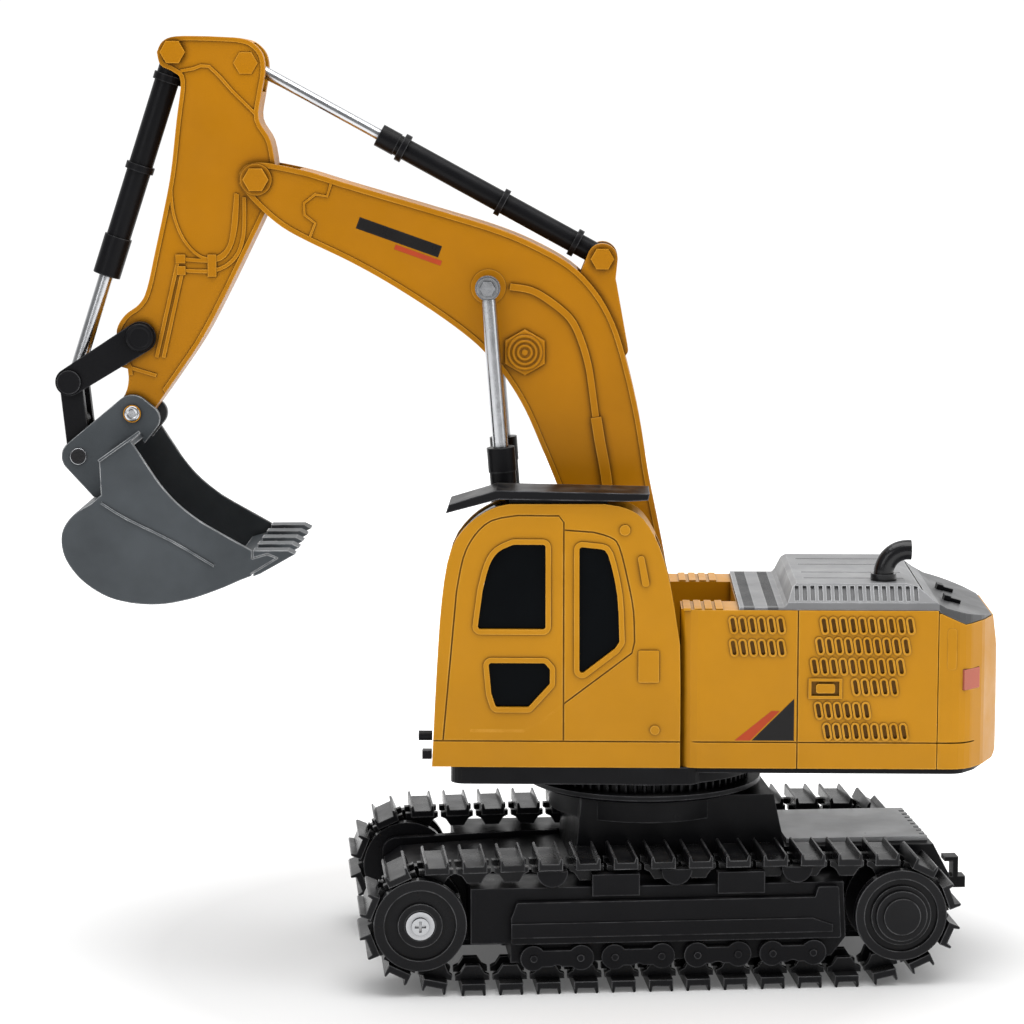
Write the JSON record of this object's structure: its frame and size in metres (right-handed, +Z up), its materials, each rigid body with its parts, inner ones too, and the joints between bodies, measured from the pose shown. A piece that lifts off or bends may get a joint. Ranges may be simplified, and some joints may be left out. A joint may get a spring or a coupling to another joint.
{
  "type": "toy excavator",
  "caption": "Toy tracked excavator with a slewing house, driver's cab, two-part digging arm, working cylinders and a tipping bucket.",
  "frame": {"origin": "on the ground, under the middle of the overall length and width", "axes": "+X forwards towards the bucket, +Y towards the cab side, +Z up; the tracks stand turned 6.2 degrees about +Z to the house at rest"},
  "size_m": [0.3256, 0.1316, 0.3194],
  "materials": {
    "yellow_plastic": "satin, light wear on the edges",
    "black_plastic": "satin, dusty",
    "grey_plastic": "matt",
    "chrome": "polished",
    "slate_metal": "slate paint worn to bare metal on the edges",
    "steel": "plain",
    "dark_window": "glossy, dark",
    "red_lens": "glossy",
    "cell_wrap": "satin wrap",
    "board": "matt"
  },
  "bodies": {
    "chassis": {"chassis_body": "black_plastic", "chassis_cover": "black_plastic", "chassis_screws": "steel", "slew_flange": "black_plastic", "slew_ring": "black_plastic", "kingpin_nut": "steel", "rear_deck": "grey_plastic", "tow_hook": "black_plastic", "drive_gearboxes": "black_plastic", "drive_motors": "steel", "track_frame_left": "black_plastic", "track_frame_right": "black_plastic", "carrier_rollers": "black_plastic", "roller_guards": "black_plastic", "track_left": "black_plastic", "track_right": "black_plastic"},
    "sprocket_l": {"sprocket_left": "black_plastic", "sprocket_screws_left": "chrome"},
    "sprocket_r": {"sprocket_right": "black_plastic", "sprocket_screws_right": "chrome"},
    "idler_l": {"idler_left": "black_plastic", "idler_cap_left": "black_plastic"},
    "idler_r": {"idler_right": "black_plastic", "idler_cap_right": "black_plastic"},
    "house": {"house_base": "black_plastic", "body_shell": "yellow_plastic", "counterweight": "yellow_plastic", "engine_hood": "grey_plastic", "hood_clips": "black_plastic", "exhaust_pipe": "black_plastic", "tail_lights": "red_lens", "cab_shell": "yellow_plastic", "cab_glass": "dark_window", "roof_visor": "black_plastic", "cab_knob": "black_plastic", "battery_pack": "cell_wrap", "control_board": "board", "slew_motor": "steel", "boom_gearbox": "steel", "boom_pivot_pin": "steel"},
    "pinion": {"slew_pinion": "steel"},
    "boom": {"boom_shell_left": "yellow_plastic", "boom_shell_right": "yellow_plastic", "boom_bolts": "steel"},
    "boom_cylinder_barrels": {"boom_barrels": "black_plastic"},
    "boom_cylinder_rods": {"boom_rods": "chrome", "boom_rod_bolts": "steel"},
    "stick_cylinder_barrel": {"stick_barrel": "black_plastic"},
    "stick_cylinder_rod": {"stick_rod": "chrome"},
    "stick": {"stick_shell_left": "yellow_plastic", "stick_shell_right": "yellow_plastic", "stick_bolts": "steel"},
    "bucket_cylinder_barrel": {"bucket_barrel": "black_plastic"},
    "bucket_cylinder_rod": {"bucket_rod": "chrome"},
    "rocker": {"rocker_arms": "black_plastic", "rocker_pins": "black_plastic"},
    "link": {"bucket_link": "black_plastic"},
    "bucket": {"bucket": "slate_metal", "bucket_teeth": "slate_metal", "bucket_bolts": "steel"}
  },
  "joints": [
    {"name": "slew", "type": "hinge", "parent": "chassis", "child": "house", "pos_m": [-0.03993, 0, 0.07], "axis": [0, 0, 1], "continuous": true},
    {"name": "slew_pinion_spin", "type": "hinge", "parent": "house", "child": "pinion", "pos_m": [-0.01023, -0.0297, 0.066], "axis": [0, 0, 1], "continuous": true},
    {"name": "sprocket_left_spin", "type": "hinge", "parent": "chassis", "child": "sprocket_l", "pos_m": [0.0365, 0.05105, 0.0244], "axis": [-0.108, 0.9942, 0], "continuous": true},
    {"name": "sprocket_right_spin", "type": "hinge", "parent": "chassis", "child": "sprocket_r", "pos_m": [0.04568, -0.03345, 0.0244], "axis": [-0.108, 0.9942, 0], "continuous": true},
    {"name": "idler_left_spin", "type": "hinge", "parent": "chassis", "child": "idler_l", "pos_m": [-0.12554, 0.03345, 0.0244], "axis": [-0.108, 0.9942, 0], "continuous": true},
    {"name": "idler_right_spin", "type": "hinge", "parent": "chassis", "child": "idler_r", "pos_m": [-0.11636, -0.05105, 0.0244], "axis": [-0.108, 0.9942, 0], "continuous": true},
    {"name": "boom_lift", "type": "hinge", "parent": "house", "child": "boom", "pos_m": [-0.03993, 0, 0.11], "axis": [0, -1, 0], "range_deg": [-35, 8]},
    {"name": "boom_barrels_tilt", "type": "hinge", "parent": "house", "child": "boom_cylinder_barrels", "pos_m": [0.00207, 0, 0.086], "axis": [0, -1, 0], "range_deg": [-32.85, 7.89]},
    {"name": "boom_rods_slide", "type": "slide", "parent": "boom_cylinder_barrels", "child": "boom_cylinder_rods", "axis": [0.0792, 0, 0.9969], "range_m": [-0.02859, 0.00677]},
    {"name": "stick_swing", "type": "hinge", "parent": "boom", "child": "stick", "pos_m": [0.09297, 0, 0.271], "axis": [0, -1, 0], "range_deg": [-12, 40]},
    {"name": "stick_barrel_tilt", "type": "hinge", "parent": "boom", "child": "stick_cylinder_barrel", "pos_m": [-0.02503, 0, 0.2441], "axis": [0, -1, 0], "range_deg": [-1.79, 4.8]},
    {"name": "stick_rod_slide", "type": "slide", "parent": "stick_cylinder_barrel", "child": "stick_cylinder_rod", "axis": [0.878, 0, 0.4788], "range_m": [-0.02547, 0.00785]},
    {"name": "bucket_curl", "type": "hinge", "parent": "stick", "child": "bucket", "pos_m": [0.13637, 0, 0.1909], "axis": [0, -1, 0], "range_deg": [-10, 70]},
    {"name": "rocker_tilt", "type": "hinge", "parent": "stick", "child": "rocker", "pos_m": [0.13337, 0, 0.2171], "axis": [0, -1, 0], "range_deg": [-8.69, 57.81]},
    {"name": "link_tilt", "type": "hinge", "parent": "rocker", "child": "link", "pos_m": [0.15797, 0, 0.2017], "axis": [0, -1, 0], "range_deg": [-56.79, 8.54]},
    {"name": "bucket_barrel_tilt", "type": "hinge", "parent": "stick", "child": "bucket_cylinder_barrel", "pos_m": [0.12107, 0, 0.314], "axis": [0, -1, 0], "range_deg": [-1.55, 7.86]},
    {"name": "bucket_rod_slide", "type": "slide", "parent": "bucket_cylinder_barrel", "child": "bucket_cylinder_rod", "axis": [0.3122, 0, -0.95], "range_m": [-0.02473, 0.00379]}
  ],
  "couplings": [
    {"joint": "slew_pinion_spin", "follows": "slew", "ratio": 6},
    {"joint": "idler_left_spin", "follows": "sprocket_left_spin", "ratio": 1},
    {"joint": "idler_right_spin", "follows": "sprocket_right_spin", "ratio": 1},
    {"joint": "boom_barrels_tilt", "follows": "boom_lift", "ratio": 0.9242},
    {"joint": "boom_rods_slide", "follows": "boom_lift", "m_per_rad": 0.046318},
    {"joint": "stick_barrel_tilt", "follows": "stick_swing", "ratio": 0.1075},
    {"joint": "stick_rod_slide", "follows": "stick_swing", "m_per_rad": -0.036055},
    {"joint": "rocker_tilt", "follows": "bucket_curl", "ratio": 0.8187},
    {"joint": "link_tilt", "follows": "bucket_curl", "ratio": -0.8041},
    {"joint": "bucket_barrel_tilt", "follows": "bucket_curl", "ratio": 0.1051},
    {"joint": "bucket_rod_slide", "follows": "bucket_curl", "m_per_rad": -0.019996}
  ]
}
